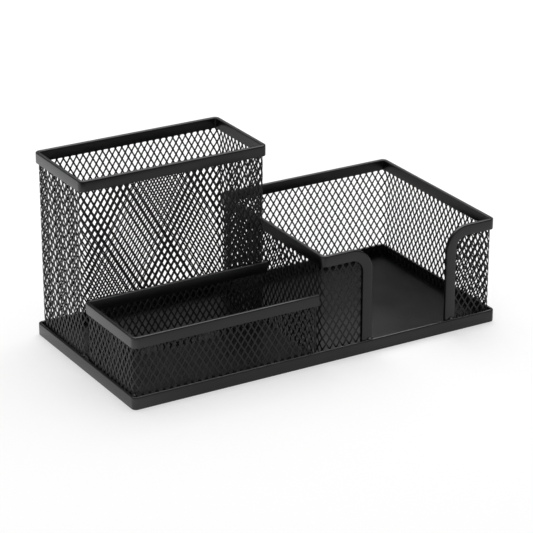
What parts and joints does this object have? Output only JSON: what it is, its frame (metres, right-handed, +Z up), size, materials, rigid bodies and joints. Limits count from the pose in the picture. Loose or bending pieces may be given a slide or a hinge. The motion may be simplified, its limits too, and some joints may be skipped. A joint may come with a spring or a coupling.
{
  "type": "desk organizer",
  "caption": "Low steel desk organizer: a hemmed tray carrying a tall mesh pen cup, a shallow mesh clip tray and a square mesh memo box with a rounded front cut-out.",
  "frame": {"origin": "centre of the underside, on the table", "axes": "+X along the tray towards the memo box, +Y from the cut-out front to the back, +Z up"},
  "size_m": [0.205, 0.103, 0.0968],
  "materials": {
    "sheet_steel": "black powder coat, satin",
    "mesh_steel": "black powder coat on expanded metal, satin"
  },
  "bodies": {
    "root": {"base_tray": "sheet_steel", "pen_cup_front_mesh": "mesh_steel", "pen_cup_right_mesh": "mesh_steel", "pen_cup_back_mesh": "mesh_steel", "pen_cup_left_mesh": "mesh_steel", "pen_cup_rim": "sheet_steel", "clip_tray_front_mesh": "mesh_steel", "clip_tray_left_mesh": "mesh_steel", "clip_tray_rim": "sheet_steel", "memo_box_right_mesh": "mesh_steel", "memo_box_back_mesh": "mesh_steel", "memo_box_left_mesh": "mesh_steel", "memo_box_front_left_mesh": "mesh_steel", "memo_box_front_right_mesh": "mesh_steel", "memo_box_rim": "sheet_steel"}
  },
  "joints": []
}
